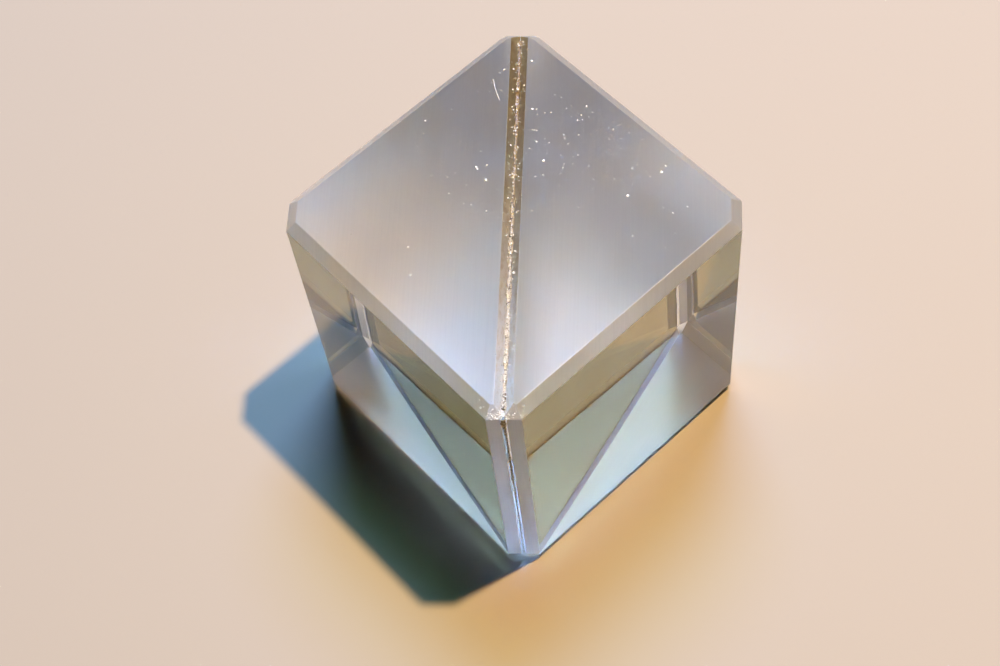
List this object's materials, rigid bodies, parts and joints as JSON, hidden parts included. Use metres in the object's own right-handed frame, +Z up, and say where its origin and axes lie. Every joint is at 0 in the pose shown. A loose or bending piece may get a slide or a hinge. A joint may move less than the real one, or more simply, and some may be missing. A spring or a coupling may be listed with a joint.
{
  "type": "beamsplitter cube",
  "caption": "Glass cube of two cemented right-angle prisms with a half-reflecting coating on the diagonal joint, for splitting a light beam in two.",
  "frame": {"origin": "middle of the base, on the joint", "axes": "+Z up, out of the ground top face; +X, -X, +Y and -Y out of the four polished faces; the joint stands on the diagonal from the -X-Y corner to the +X+Y corner, the coated prism on its +X-Y side"},
  "size_m": [0.0254, 0.0254, 0.0254],
  "materials": {
    "plain_prism_glass": "polished optical faces, fine-ground top, base and edges",
    "coated_prism_glass": "polished optical faces, fine-ground top, base and edges",
    "splitter_film": "thin half-reflecting film with a golden tint",
    "clear_cement": "clear cured optical cement",
    "aged_cement": "honey-brown cured cement with grinding dust in it"
  },
  "bodies": {
    "root": {"plain_prism": "plain_prism_glass", "coated_prism": "coated_prism_glass", "splitter_coating": "splitter_film", "cement_film": "clear_cement", "top_cement_bead": "aged_cement", "bottom_cement_bead": "aged_cement", "front_cement_bead": "aged_cement", "rear_cement_bead": "aged_cement"}
  },
  "joints": []
}
